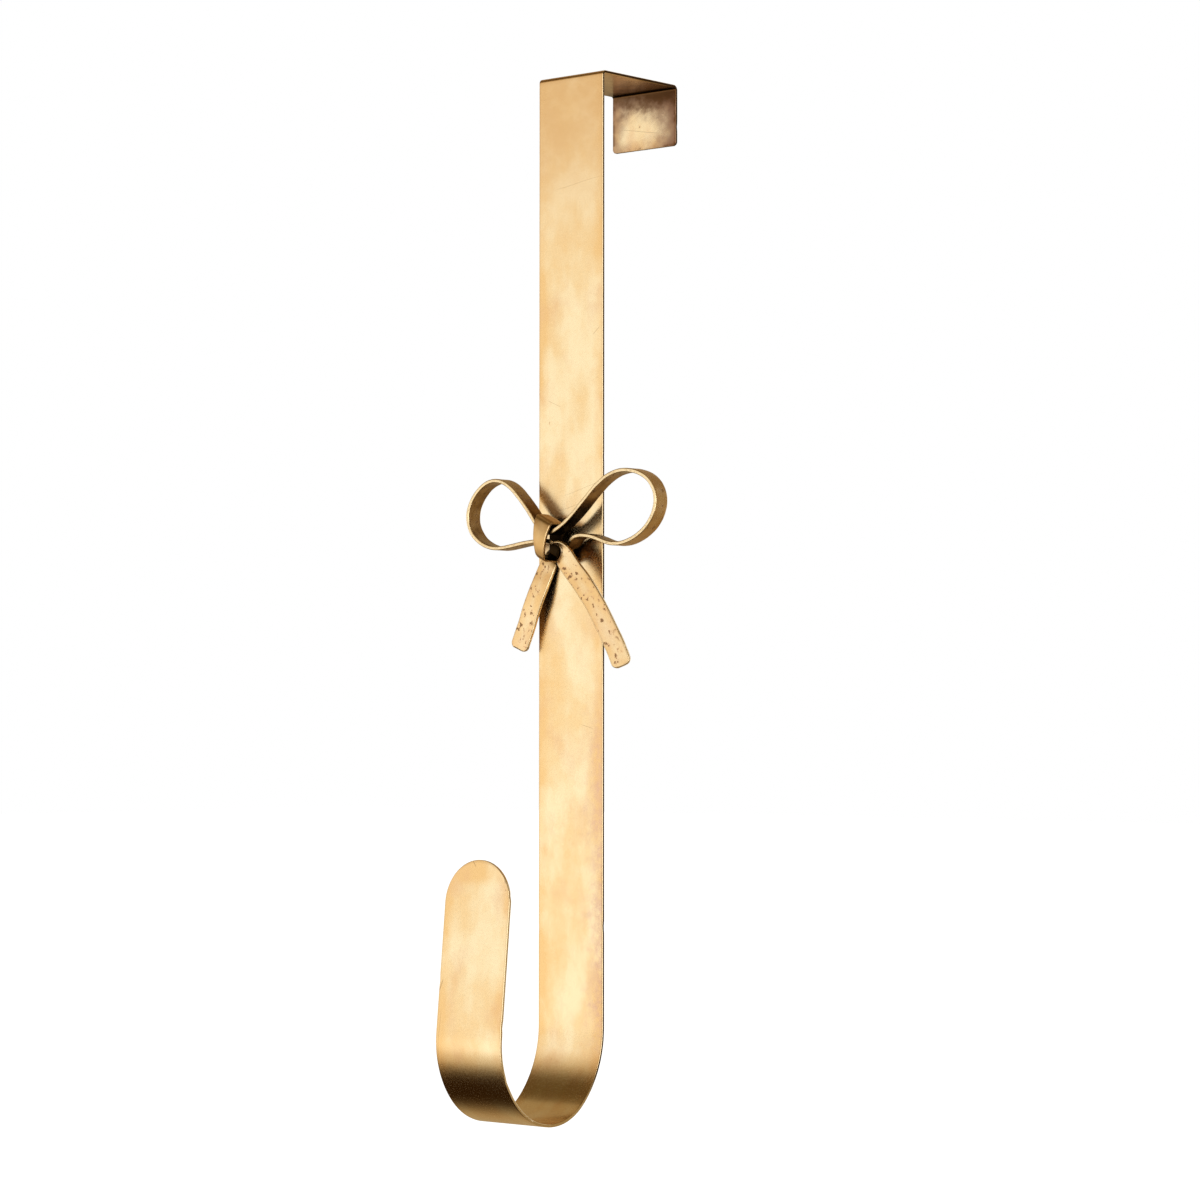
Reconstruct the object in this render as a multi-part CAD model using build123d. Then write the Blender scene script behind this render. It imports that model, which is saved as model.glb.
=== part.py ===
from build123d import *
import math
import os

# Over-the-door wreath hanger: a folded flat strip with a bow of narrow ribbon on its shank.
# X runs across the strip, Y from the front of the door to its back, Z up. The origin is the middle
# of the underside of the top, where the hanger sits on the door. Sizes are in mm.

# Strip
STRIP_WIDTH = 35.0
STRIP_THICK = 1.2
DOOR_GAP = 46.0             # clear space between shank and lip: a 44.45 mm door and a little play
LIP_DROP = 24.4             # from the underside of the top to the end of the lip
FRONT_BEND_RADIUS = 0.6     # inside radius of the fold at the shank
BACK_BEND_RADIUS = 1.0      # inside radius of the fold at the lip
LIP_CORNER_RADIUS = 1.8
CUT_MARGIN = 5.0            # how far the piece that rounds the tip reaches past the strip

# Hook at the foot of the strip: four arcs of equal turn, from the shank to the upturned end
BEND_START_Z = -392.3
HOOK_RADII = (41.6, 26.0, 29.7, 36.3)
HOOK_LEAN = 5.6             # degrees that the upturned end leans back to the shank
HOOK_TIP_Z = -322.8

# Bow ribbon: on edge in the loops, a quarter turn flat in the tails, where it is hammered wider
RIBBON_WIDTH = 7.5
TAIL_WIDTH = 8.9
RIBBON_THICK = 1.6
RIBBON_EASE = 0.3           # bevel of its long edges
TAIL_CORNER_RADIUS = 2.6
LOOP_DEPTH = 7.15           # from the shank's front face to the middle of the ribbon in the loops

# Middle line of the ribbon as x, z: left tail, right loop, dip through the band, left loop, back
# through the band and down the right tail
RIBBON_PATH = [
    (-24.9, -237.4), (-21.9, -230.2), (-17.8, -219.4), (-13.9, -209.9), (-10.9, -202.3), (-8.6, -199.2),
    (-5.2, -198.0), (-1.4, -198.4), (2.0, -198.2), (4.6, -196.2), (7.6, -193.4), (11.4, -191.6),
    (16.6, -191.4), (22.4, -192.6), (29.1, -194.8), (36.6, -195.0), (44.4, -192.3), (50.5, -187.6),
    (53.9, -181.4), (53.7, -174.8), (50.0, -169.6), (44.4, -166.7), (37.2, -165.6), (29.5, -167.2),
    (21.9, -171.9), (14.4, -178.6), (7.0, -184.8), (0.8, -188.5), (-3.6, -189.7), (-8.3, -187.4),
    (-13.7, -181.0), (-19.8, -174.2), (-25.8, -169.1), (-33.0, -166.9), (-40.0, -168.9), (-45.6, -174.2),
    (-48.2, -180.6), (-46.6, -187.4), (-41.0, -192.6), (-34.0, -195.0), (-26.0, -194.8), (-18.5, -193.7),
    (-11.5, -193.0), (-6.0, -192.8), (-2.6, -193.2), (0.8, -194.5), (3.6, -197.0), (6.2, -200.4),
    (9.0, -204.0), (14.4, -209.9), (21.5, -218.9), (27.2, -228.5), (31.9, -237.2), (35.4, -245.0),
]
STEPS = 4                   # sections from one point of the path to the next
SPAN_POINTS = 3             # points of the path to each face along the ribbon

# Along the path, as the number of a point and a value that holds there
DEPTH_KEYS = [(0, 4.3), (2, 3.6), (4.5, 0.84), (7, 0.84), (8, 2.9), (9, 4.4), (11.6, LOOP_DEPTH),
              (44.6, LOOP_DEPTH), (47.2, 10.4), (49, 10.2), (53, 8.3)]
TWIST_KEYS = [(0, -96), (3.5, -90), (7, -90), (9.6, 0), (44.6, 0), (47.2, 98), (53, 104)]
WIDTH_KEYS = [(0, TAIL_WIDTH), (3.5, TAIL_WIDTH), (5, RIBBON_WIDTH), (44.6, RIBBON_WIDTH),
              (47.2, TAIL_WIDTH), (53, TAIL_WIDTH)]

# Knot band, a flattened ring round the runs of the ribbon, with a bulged front. It is wrapped askew:
# from its left rim to its right rim it runs downhill, and it narrows towards the bottom
BAND_THICK = 1.6
BAND_CENTRE = (-6.4, -191.8)    # x, z
BAND_SLOPE = 26.0
BAND_LEFT = -9.0                # x of its left rim
BAND_RIGHT = (-2.2, -191.8)     # x, z of a point on its right rim
BAND_LEAN = 13.0                # tilt of the right rim to the right
BAND_HALF_HEIGHT = 9.2
BAND_FRONT = 4.3                # from the middle of the ribbon's width to the front's ends
BAND_BULGE = 2.1                # how far the middle of the front stands out from its ends
BAND_CORNER_RADIUS = 3.0        # outside
BAND_CLEARANCE = 0.15           # between the ribbon's back edge and the inside of the band
BAND_EASE = 0.3
BAND_REACH = 12.0               # half length of the tube that it is cut from

# Pad of filler metal between the band and the shank
BRAZE_RADIUS = 2.3
BRAZE_CENTRE = (-5.8, -189.8)

SHANK_FACE_Y = -DOOR_GAP / 2 - STRIP_THICK


def strip_moves():
    """Lengths and turns of the strip's middle line, from the end of the lip to the tip of the hook."""
    back_r = BACK_BEND_RADIUS + STRIP_THICK / 2
    front_r = FRONT_BEND_RADIUS + STRIP_THICK / 2
    turn = (180 + HOOK_LEAN) / len(HOOK_RADII)
    moves = [
        ("line", LIP_DROP + STRIP_THICK / 2 - back_r),
        ("arc", back_r, 90),
        ("line", DOOR_GAP + STRIP_THICK - back_r - front_r),
        ("arc", front_r, 90),
        ("line", STRIP_THICK / 2 - BEND_START_Z - front_r),
    ]
    moves += [("arc", radius, -turn) for radius in HOOK_RADII]
    return moves


def strip_edge(moves, offset):
    """The line that runs beside the strip's middle line, offset to its left, with its end and heading."""
    y = DOOR_GAP / 2 + STRIP_THICK / 2
    z = -LIP_DROP
    heading = 90.0
    edges = []
    for move in moves:
        ux, uz = math.cos(math.radians(heading)), math.sin(math.radians(heading))
        start = (y - uz * offset, z + ux * offset)
        if move[0] == "line":
            y += ux * move[1]
            z += uz * move[1]
            edges.append(Line(start, (y - uz * offset, z + ux * offset)))
            continue
        side = 1 if move[2] > 0 else -1
        centre = (y - side * uz * move[1], z + side * ux * move[1])
        edges.append(CenterArc(centre, move[1] - side * offset, heading - 90 * side, move[2]))
        heading += move[2]
        ux, uz = math.cos(math.radians(heading)), math.sin(math.radians(heading))
        y = centre[0] + side * uz * move[1]
        z = centre[1] - side * ux * move[1]
    return edges, (y, z), heading


def make_strip():
    moves = strip_moves()
    _, hook_end, heading = strip_edge(moves, 0)
    moves.append(("line", (HOOK_TIP_Z - hook_end[1]) / math.sin(math.radians(heading))))
    left, tip, _ = strip_edge(moves, STRIP_THICK / 2)
    right, _, _ = strip_edge(moves, -STRIP_THICK / 2)
    ends = [Line(left[0] @ 0, right[0] @ 0), Line(left[-1] @ 1, right[-1] @ 1)]
    outline = Plane.YZ * make_face([*left, *right, *ends])
    strip = extrude(outline, STRIP_WIDTH / 2, both=True)

    # full round of the tip: what lies outside a disc square to the upturned end is cut off
    round_r = STRIP_WIDTH / 2
    up = Vector(0, math.cos(math.radians(heading)), math.sin(math.radians(heading)))
    tip_plane = Plane(origin=Vector(0, tip[0], tip[1]) - up * round_r, x_dir=(1, 0, 0),
                      z_dir=Vector(1, 0, 0).cross(up))
    corner = Pos(0, round_r) * Rectangle(STRIP_WIDTH + 2 * CUT_MARGIN, 2 * round_r) - Circle(round_r)
    strip -= extrude(tip_plane * corner, CUT_MARGIN, both=True)

    lip_corners = strip.edges().filter_by(Axis.Y).group_by(Axis.Y)[-1].group_by(Axis.Z)[0]
    return fillet(lip_corners, LIP_CORNER_RADIUS)


def value_at(keys, place):
    """The value at a place on the path: it eases from each key to the next."""
    for (start, first), (end, last) in zip(keys, keys[1:]):
        if place <= end:
            at = max(place - start, 0) / (end - start)
            return first + (last - first) * at * at * (3 - 2 * at)
    return keys[-1][1]


def ribbon_middles():
    """Points along the ribbon's middle line, each with its place on the path."""
    flat = Spline([(x, 0, z) for x, z in RIBBON_PATH])
    marks = [flat.param_at_point(Vector(x, 0, z)) for x, z in RIBBON_PATH]
    places = [i / STEPS for i in range(STEPS * (len(RIBBON_PATH) - 1) + 1)]
    middles = []
    for place in places:
        whole = min(int(place), len(RIBBON_PATH) - 2)
        at = marks[whole] + (marks[whole + 1] - marks[whole]) * (place - whole)
        depth = value_at(DEPTH_KEYS, place)
        middles.append((flat @ at) + Vector(0, SHANK_FACE_Y - depth, 0))
    return middles, places


def rounded_tip(to_end):
    """How much narrower the half width is at this distance from the end of a tail."""
    inside = max(TAIL_CORNER_RADIUS - to_end, 0)
    return TAIL_CORNER_RADIUS - math.sqrt(TAIL_CORNER_RADIUS**2 - inside**2)


def span_curve(points, travelled, first, last):
    """A smooth curve through part of a corner line, which runs on smoothly into the next part."""
    tangents = []
    for at in (first, last):
        before = max(at - 1, 0)
        after = min(at + 1, len(points) - 1)
        tangents.append((points[after] - points[before]) / (travelled[after] - travelled[before]))
    return Edge.make_spline(points[first:last + 1], tangents=tangents, scale=False,
                            parameters=travelled[first:last + 1])


def make_ribbon():
    middles, places = ribbon_middles()
    ahead = middles[1:] + middles[-1:]
    behind = middles[:1] + middles[:-1]
    travelled = [0.0]
    for before, middle in zip(middles, middles[1:]):
        travelled.append(travelled[-1] + (middle - before).length)
    half_thick = RIBBON_THICK / 2
    corners = [[] for _ in range(8)]
    for middle, before, after, place, gone in zip(middles, behind, ahead, places, travelled):
        run = (after - before).normalized()
        front = (Vector(0, -1, 0) + run * run.Y).normalized()
        twist = math.radians(value_at(TWIST_KEYS, place))
        across = front * math.cos(twist) + front.cross(run) * math.sin(twist)
        through = across.cross(run)
        to_end = min(gone, travelled[-1] - gone)
        half = value_at(WIDTH_KEYS, place) / 2 - rounded_tip(to_end)
        section = [(half, half_thick - RIBBON_EASE), (half - RIBBON_EASE, half_thick)]
        section += [(-a, b) for a, b in reversed(section)]
        section += [(-a, -b) for a, b in section]
        for corner, (a, b) in zip(corners, section):
            corner.append(middle + across * a + through * b)
    faces = []
    stride = SPAN_POINTS * STEPS
    for first in range(0, len(middles) - 1, stride):
        last = min(first + stride, len(middles) - 1)
        curves = [span_curve(corner, travelled, first, last) for corner in corners]
        faces += [Face.make_surface_from_curves(a, b) for a, b in zip(curves, curves[1:] + curves[:1])]
    for end in (0, -1):
        faces.append(make_face(Polyline([corner[end] for corner in corners], close=True)))
    return Solid(Shell(faces))


def make_band():
    slope = math.radians(BAND_SLOPE)
    across = Vector(math.cos(slope), 0, -math.sin(slope))
    back = RIBBON_WIDTH / 2 + BAND_CLEARANCE + BAND_THICK
    top = BAND_HALF_HEIGHT
    # seen from the right: the back to the right, the bulged front to the left
    sides = [
        Line((back, -top), (back, top)),
        Line((back, top), (-BAND_FRONT, top)),
        ThreePointArc((-BAND_FRONT, top), (-BAND_FRONT - BAND_BULGE, 0), (-BAND_FRONT, -top)),
        Line((-BAND_FRONT, -top), (back, -top)),
    ]
    outline = make_face(sides)
    outline = fillet(outline.vertices(), BAND_CORNER_RADIUS)
    ring = outline - offset(outline, -BAND_THICK)
    section_plane = Plane(origin=(BAND_CENTRE[0], SHANK_FACE_Y - LOOP_DEPTH, BAND_CENTRE[1]),
                          x_dir=(0, 1, 0), z_dir=(1, 0, 0))
    tube = extrude(section_plane * ring, BAND_REACH, dir=across, both=True)

    # the rims, seen from the front
    high, low = BAND_CENTRE[1] + 2 * top, BAND_CENTRE[1] - 2 * top
    lean = math.tan(math.radians(BAND_LEAN))
    right = [BAND_RIGHT[0] + (z - BAND_RIGHT[1]) * lean for z in (high, low)]
    rims = Polyline((BAND_LEFT, high), (right[0], high), (right[1], low), (BAND_LEFT, low), close=True)
    keep = extrude(Plane.XZ * make_face(rims), BAND_REACH - SHANK_FACE_Y + LOOP_DEPTH)
    band = tube & keep
    ends = band.faces().sort_by(Axis.X)
    return fillet(ends[0].edges() + ends[-1].edges(), BAND_EASE)


def make_braze():
    back_of_band = LOOP_DEPTH - RIBBON_WIDTH / 2 - BAND_CLEARANCE - BAND_THICK
    face = Plane(origin=(BRAZE_CENTRE[0], SHANK_FACE_Y, BRAZE_CENTRE[1]), x_dir=(1, 0, 0), z_dir=(0, -1, 0))
    return extrude(face * Circle(BRAZE_RADIUS), back_of_band)


def main():
    os.makedirs("parts", exist_ok=True)
    export_step(make_strip(), "parts/hanger_strip.step")
    export_step(make_ribbon(), "parts/bow_ribbon.step")
    export_step(make_band(), "parts/knot_band.step")
    export_step(make_braze(), "parts/braze_joint.step")


main()
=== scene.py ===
import math
from bisect import bisect_right

import bmesh
import bpy
from mathutils import Matrix, Vector, noise
from mathutils.bvhtree import BVHTree


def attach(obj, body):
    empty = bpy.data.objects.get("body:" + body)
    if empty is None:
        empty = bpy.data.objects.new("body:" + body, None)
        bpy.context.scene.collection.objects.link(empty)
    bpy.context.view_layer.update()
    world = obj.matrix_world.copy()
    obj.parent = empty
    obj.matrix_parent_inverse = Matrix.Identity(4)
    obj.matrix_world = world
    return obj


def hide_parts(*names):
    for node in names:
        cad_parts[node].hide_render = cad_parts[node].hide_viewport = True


# Over-the-door wreath hanger in antique brass: a folded strip and, on its front, a bow of ribbon.
# Shapes are worked out in mm and turned into metres by MM.
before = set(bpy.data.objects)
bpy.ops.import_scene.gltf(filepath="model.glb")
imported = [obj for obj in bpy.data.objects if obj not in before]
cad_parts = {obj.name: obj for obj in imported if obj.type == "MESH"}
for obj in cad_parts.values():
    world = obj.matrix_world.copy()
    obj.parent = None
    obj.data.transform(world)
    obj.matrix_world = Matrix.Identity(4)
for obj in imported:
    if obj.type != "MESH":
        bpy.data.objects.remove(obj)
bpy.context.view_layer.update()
MM = 0.001

# Sizes of the strip, as in the part's source. EDGE is the radius of a rounded edge, here and below.
STRIP_WIDTH = 35.0
STRIP_THICK = 1.2
STRIP_EDGE = 0.24
DOOR_GAP = 46.0
LIP_DROP = 24.4
FRONT_BEND_RADIUS = 0.6
BACK_BEND_RADIUS = 1.0
LIP_CORNER_RADIUS = 1.8
BEND_START_Z = -392.3
HOOK_RADII = (41.6, 26.0, 29.7, 36.3)
HOOK_LEAN = 5.6      # degrees
HOOK_TIP_Z = -322.8
SHANK_FACE_Y = -DOOR_GAP / 2 - STRIP_THICK

# Sizes of the ribbon. Its path gives x and z of its middle. Depth from the shank's face, twist in degrees
# and width are each given at some points of the path, counted from 0.
RIBBON_WIDTH = 7.5
TAIL_WIDTH = 8.9
RIBBON_THICK = 1.6
RIBBON_EDGE = 0.42
TAIL_CORNER_RADIUS = 2.6
LOOP_DEPTH = 7.15
RIBBON_PATH = [
    (-24.9, -237.4), (-21.9, -230.2), (-17.8, -219.4), (-13.9, -209.9), (-10.9, -202.3), (-8.6, -199.2),
    (-5.2, -198.0), (-1.4, -198.4), (2.0, -198.2), (4.6, -196.2), (7.6, -193.4), (11.4, -191.6),
    (16.6, -191.4), (22.4, -192.6), (29.1, -194.8), (36.6, -195.0), (44.4, -192.3), (50.5, -187.6),
    (53.9, -181.4), (53.7, -174.8), (50.0, -169.6), (44.4, -166.7), (37.2, -165.6), (29.5, -167.2),
    (21.9, -171.9), (14.4, -178.6), (7.0, -184.8), (0.8, -188.5), (-3.6, -189.7), (-8.3, -187.4),
    (-13.7, -181.0), (-19.8, -174.2), (-25.8, -169.1), (-33.0, -166.9), (-40.0, -168.9), (-45.6, -174.2),
    (-48.2, -180.6), (-46.6, -187.4), (-41.0, -192.6), (-34.0, -195.0), (-26.0, -194.8), (-18.5, -193.7),
    (-11.5, -193.0), (-6.0, -192.8), (-2.6, -193.2), (0.8, -194.5), (3.6, -197.0), (6.2, -200.4),
    (9.0, -204.0), (14.4, -209.9), (21.5, -218.9), (27.2, -228.5), (31.9, -237.2), (35.4, -245.0),
]
DEPTH_KEYS = [(0, 4.3), (2, 3.6), (4.5, 0.84), (7, 0.84), (8, 2.9), (9, 4.4), (11.6, LOOP_DEPTH),
              (44.6, LOOP_DEPTH), (47.2, 10.4), (49, 10.2), (53, 8.3)]
TWIST_KEYS = [(0, -96), (3.5, -90), (7, -90), (9.6, 0), (44.6, 0), (47.2, 98), (53, 104)]
WIDTH_KEYS = [(0, TAIL_WIDTH), (3.5, TAIL_WIDTH), (5, RIBBON_WIDTH), (44.6, RIBBON_WIDTH),
              (47.2, TAIL_WIDTH), (53, TAIL_WIDTH)]
RIBBON_STEPS = 8     # sections from one point of the path to the next

# Sizes of the knot band and of the filler metal behind it
BAND_THICK = 1.6
BAND_CENTRE = (-6.4, -191.8)
BAND_SLOPE = 26.0
BAND_LEFT = -9.0
BAND_RIGHT = -2.2
BAND_LEAN = 13.0
BAND_HALF_HEIGHT = 9.2
BAND_FRONT = 4.3
BAND_BULGE = 2.1
BAND_CORNER_RADIUS = 3.0
BAND_CLEARANCE = 0.15
BAND_EDGE = 0.5
BAND_CROWN = 0.10    # how far the middle of its outer face stands out, and how deep its dents are
BAND_BACK = 5.0      # this far behind its middle and beyond, its outer face is painted black as shade, like its inside
BRAZE_RADIUS = 2.3
BRAZE_CENTRE = (-5.8, -189.8)
BRAZE_FLARE = 0.9

# Camera, solved from the edges of the strip in the photograph, in metres, degrees and mm of lens
CAMERA_PLACE = (0.9714, -1.1329, -0.2694)
CAMERA_AZIMUTH = 40.75
CAMERA_PITCH = 2.03
CAMERA_ROLL = 0.02
CAMERA_LENS = 107.1

# What the materials read at each point: the place along and across the run, how much it belongs to the rim
# (1 on the cut side, less in the rounding and beside it), which side it is on, how far it is from the rim,
# and how dark its patina and painted shade are
POINT_VALUES = ("run_along", "run_across", "rim", "side", "inward", "patina_and_shade")
# RIM_DULL, for the band's rim, gives it less of the rubbed rim and its painted highlight
RIM_CUT, RIM_ROUND, RIM_LAST, RIM_NEXT, RIM_DULL = 1.0, 0.95, 0.85, 0.25, 0.89


# Mesh building
class Shell:
    """A mesh in the making: points in mm, each with its values, and faces between them."""

    def __init__(self):
        self.points, self.faces = [], []
        self.values = {key: [] for key in POINT_VALUES}

    def add(self, point, along, across, rim, side, inward, patina_and_shade):
        here = (along * MM, across * MM, rim, side, inward * MM, patina_and_shade)
        for key, value in zip(POINT_VALUES, here):
            self.values[key].append(value)
        self.points.append(point)
        return len(self.points) - 1

    def join(self, loops):
        """Bands of faces from each closed loop of points to the next."""
        for a, b in zip(loops, loops[1:]):
            for n in range(len(a)):
                m = (n + 1) % len(a)
                self.faces.append((a[n], b[n], b[m], a[m]))


def new_piece(name, shell, material, node):
    """A visible piece from a shell, with its values kept for the material."""
    mesh = bpy.data.meshes.new(name)
    mesh.from_pydata([Vector(point) * MM for point in shell.points], [], shell.faces)
    for key, values in shell.values.items():
        layer = mesh.attributes.new(key, "FLOAT", "POINT")
        layer.data.foreach_set("value", values)
    mesh.validate()
    for polygon in mesh.polygons:
        polygon.use_smooth = True
    piece = bpy.data.objects.new(name, mesh)
    bpy.context.scene.collection.objects.link(piece)
    mesh.materials.append(material)
    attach(piece, "root")
    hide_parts(node)
    return piece


def edge_profile(edge, thick):
    """The rounded edge from the upper to the lower face: (how far out, how high, rim, side)."""
    half, steps = thick / 2, 4
    upper = []
    for n in range(1, steps):
        angle = math.pi / 2 * n / steps
        upper.append((edge * math.sin(angle), half - edge * (1 - math.cos(angle)), RIM_ROUND, 0.5))
    lower = [(out, -high, rim, -side) for out, high, rim, side in reversed(upper)]
    return upper + [(edge, half - edge, RIM_CUT, 0.5), (edge, edge - half, RIM_CUT, -0.5)] + lower


def outline(rows):
    """The keys (row, column) round a grid of rows, and each one's outward direction in the flat."""
    last, count = len(rows) - 1, len(rows[0])
    ring = [(0, j) for j in range(count)]
    ring += [(i, count - 1) for i in range(1, last + 1)]
    ring += [(last, j) for j in range(count - 2, -1, -1)]
    ring += [(i, 0) for i in range(last - 1, 0, -1)]
    outward = {}
    for n, (i, j) in enumerate(ring):
        before, after = ring[n - 1], ring[(n + 1) % len(ring)]
        a, b = rows[before[0]][before[1]], rows[after[0]][after[1]]
        outward[(i, j)] = Vector((a[1] - b[1], b[0] - a[0])).normalized()
    # the first row looks back along the plate, which tells the outward side
    if outward[(0, count // 2)][0] > 0:
        outward = {key: -value for key, value in outward.items()}
    return ring, outward


def plate(rows, edge, thick, place, nick, roughen, age):
    """A flat plate with rounded edges, bent to its place. rows are its inset outline as rows of
    (along, across), place(along, across, height) gives the point in space, and age(along, across, side)
    how dark its patina and painted shade are."""
    shell = Shell()
    last, count = len(rows) - 1, len(rows[0])
    ring, outward = outline(rows)
    flat = {(i, j): at for i, row in enumerate(rows) for j, at in enumerate(row)}
    gone = 0.0
    for n, key in enumerate(ring):
        here = Vector(flat[key])
        gone += (here - Vector(flat[ring[n - 1]])).length if n else 0.0
        flat[key] = tuple(here - outward[key] * nick(gone))

    def add(at, high, rim, side, inward=0.0):
        s, x = at
        dent = roughen(s, x, side) * (1 if side >= 0 else -1)
        return shell.add(place(s, x, high + dent), s, x, rim, side, inward, age(s, x, side))

    top, bottom = {}, {}
    for (i, j), at in flat.items():
        rim = {0: RIM_LAST, 1: RIM_NEXT}.get(min(j, count - 1 - j, i, last - i), 0.0)
        inward = min(abs(rows[i][0][1]) - abs(at[1]), at[0], rows[-1][0][0] - at[0])
        top[(i, j)] = add(at, thick / 2, rim, 1.0, inward)
        bottom[(i, j)] = add(at, -thick / 2, rim, -1.0, inward)
    for i in range(last):
        for j in range(count - 1):
            corners = [(i, j), (i, j + 1), (i + 1, j + 1), (i + 1, j)]
            shell.faces.append([top[key] for key in corners])
            shell.faces.append([bottom[key] for key in corners[:1] + corners[:0:-1]])
    loops = [[top[key] for key in ring]]
    for out, high, rim, side in edge_profile(edge, thick):
        loops.append([add(Vector(flat[key]) + outward[key] * out, high, rim, side) for key in ring])
    loops.append([bottom[key] for key in ring])
    shell.join(loops)
    return shell


def face_outward(piece):
    bm = bmesh.new()
    bm.from_mesh(piece.data)
    bmesh.ops.recalc_face_normals(bm, faces=bm.faces)
    bm.to_mesh(piece.data)
    bm.free()


GOLDEN_ANGLE = 2.39996
CREVICE_REACH = 0.010     # metres
CREVICE_RAYS = 40
CREVICE_PLACES = [((-60, -45, -260), (60, -20, -150)),     # the bow, as two corners in mm
                  ((-20, -30, -30), (20, 30, 5))]          # the fold over the door
SMOOTHINGS = 2


def averaged(mesh, values):
    """Each point's value averaged with those of its neighbours."""
    total, count = values[:], [1] * len(values)
    for edge in mesh.edges:
        a, b = edge.vertices
        total[a] += values[b]
        total[b] += values[a]
        count[a] += 1
        count[b] += 1
    return [t / c for t, c in zip(total, count)]


def shelter(pieces):
    """Gives each point how far it is closed in by what is near, from 0 to 1, as the value crevice."""
    corners, polygons = [], []
    for piece in pieces:
        first = len(corners)
        corners += [v.co.copy() for v in piece.data.vertices]
        polygons += [[first + i for i in polygon.vertices] for polygon in piece.data.polygons]
    tree = BVHTree.FromPolygons(corners, polygons)
    spread = []
    for n in range(CREVICE_RAYS):
        out, turn = math.sqrt((n + 0.5) / CREVICE_RAYS), n * GOLDEN_ANGLE
        spread.append(Vector((out * math.cos(turn), out * math.sin(turn), math.sqrt(1 - out * out))))
    for piece in pieces:
        closed = [0.0] * len(piece.data.vertices)
        for vertex in piece.data.vertices:
            at = vertex.co / MM
            if not any(all(low[k] <= at[k] <= high[k] for k in range(3)) for low, high in CREVICE_PLACES):
                continue
            facing = vertex.normal.to_track_quat("Z", "Y")
            start = vertex.co + vertex.normal * 0.2 * MM
            for ray in spread:
                far = tree.ray_cast(start, facing @ ray, CREVICE_REACH)[3]
                if far is not None:
                    closed[vertex.index] += (1 - far / CREVICE_REACH) / CREVICE_RAYS
        for _ in range(SMOOTHINGS):
            closed = averaged(piece.data, closed)
        layer = piece.data.attributes.new("crevice", "FLOAT", "POINT")
        layer.data.foreach_set("value", closed)


# Strip
def heading_of(degrees):
    return math.cos(math.radians(degrees)), math.sin(math.radians(degrees))


def strip_line():
    """The strip's middle line in the YZ plane from the lip's end on, as moves with their start along it,
    their length, their start or centre, their first heading and, for an arc, its radius and side."""
    back_r = BACK_BEND_RADIUS + STRIP_THICK / 2
    front_r = FRONT_BEND_RADIUS + STRIP_THICK / 2
    turn = (180 + HOOK_LEAN) / len(HOOK_RADII)
    moves = [("line", LIP_DROP + STRIP_THICK / 2 - back_r), ("arc", back_r, 90),
             ("line", DOOR_GAP + STRIP_THICK - back_r - front_r), ("arc", front_r, 90),
             ("line", STRIP_THICK / 2 - BEND_START_Z - front_r)]
    moves += [("arc", radius, -turn) for radius in HOOK_RADII]
    moves.append(("line", None))
    y, z, heading, gone = DOOR_GAP / 2 + STRIP_THICK / 2, -LIP_DROP, 90.0, 0.0
    laid = []
    for kind, size, *angle in moves:
        uy, uz = heading_of(heading)
        if kind == "line":
            length = (HOOK_TIP_Z - z) / uz if size is None else size
            laid.append((gone, length, (y, z), heading, None))
            y, z = y + uy * length, z + uz * length
        else:
            side = 1 if angle[0] > 0 else -1
            centre = (y - side * uz * size, z + side * uy * size)
            length = math.radians(abs(angle[0])) * size
            laid.append((gone, length, centre, heading, (size, side)))
            heading += angle[0]
            uy, uz = heading_of(heading)
            y, z = centre[0] + side * uz * size, centre[1] - side * uy * size
        gone += length
    return laid, gone


STRIP_LAID, STRIP_LENGTH = strip_line()


def on_strip(s, x, h):
    """A point of the strip, s along it, x across it and h to the left of its heading."""
    move = next((m for m in STRIP_LAID if s <= m[0] + m[1]), STRIP_LAID[-1])
    start, _, at, heading, arc = move
    if arc is None:
        uy, uz = heading_of(heading)
        return (x, at[0] + uy * (s - start) - uz * h, at[1] + uz * (s - start) + uy * h)
    radius, side = arc
    uy, uz = heading_of(heading + math.degrees(side * (s - start) / radius))
    out = radius - side * h
    return (x, at[0] + side * uz * out, at[1] - side * uy * out)


def corner_stations(corner, angles):
    """Places along a rounded corner from its start, at some angles round it."""
    return [corner * (1 - math.cos(math.radians(a))) for a in angles]


def strip_rows():
    columns, tip_rows = 26, 16
    wide = [-1.0, -0.965] + [-0.9 + 1.8 * n / (columns - 4) for n in range(columns - 3)] + [0.965, 1.0]
    half = STRIP_WIDTH / 2 - STRIP_EDGE
    corner = LIP_CORNER_RADIUS - STRIP_EDGE
    stations = [STRIP_EDGE + s for s in corner_stations(corner, (0, 12, 25, 38, 50, 62, 75, 90))]
    tip_start = STRIP_LENGTH - STRIP_WIDTH / 2
    at = stations[-1]
    for start, length, _, _, arc in STRIP_LAID:
        end = min(start + length, tip_start)
        if end <= at:
            continue
        step = math.radians(2.5 if arc[0] > 10 else 9) * arc[0] if arc else 1.6
        parts = max(1, math.ceil((end - at) / step))
        stations += [at + (end - at) * (n + 1) / parts for n in range(parts)]
        at = end
    rows = []
    for s in stations:
        inside = max(corner - (s - STRIP_EDGE), 0)
        reach = half - corner + math.sqrt(max(corner**2 - inside**2, 0))
        rows.append([(s, reach * w) for w in wide])
    # the round tip: a square grid pressed into a half disc
    for n in range(1, tip_rows + 1):
        v = n / tip_rows
        rows.append([(tip_start + half * v * math.sqrt(1 - u * u / 2), half * u * math.sqrt(1 - v * v / 2))
                     for u in wide])
    return rows


# Small nicks in the edge of the strip: where along the outline, how deep, how wide
STRIP_NICKS = [(40, 0.18, 1.2), (262, 0.15, 1.0), (455, 0.22, 1.4), (561, 0.35, 1.6), (585, 0.3, 1.2),
               (608, 0.32, 1.5), (660, 0.25, 1.1), (742, 0.2, 1.5), (910, 0.16, 1.2), (1052, 0.2, 1.4)]


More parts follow.
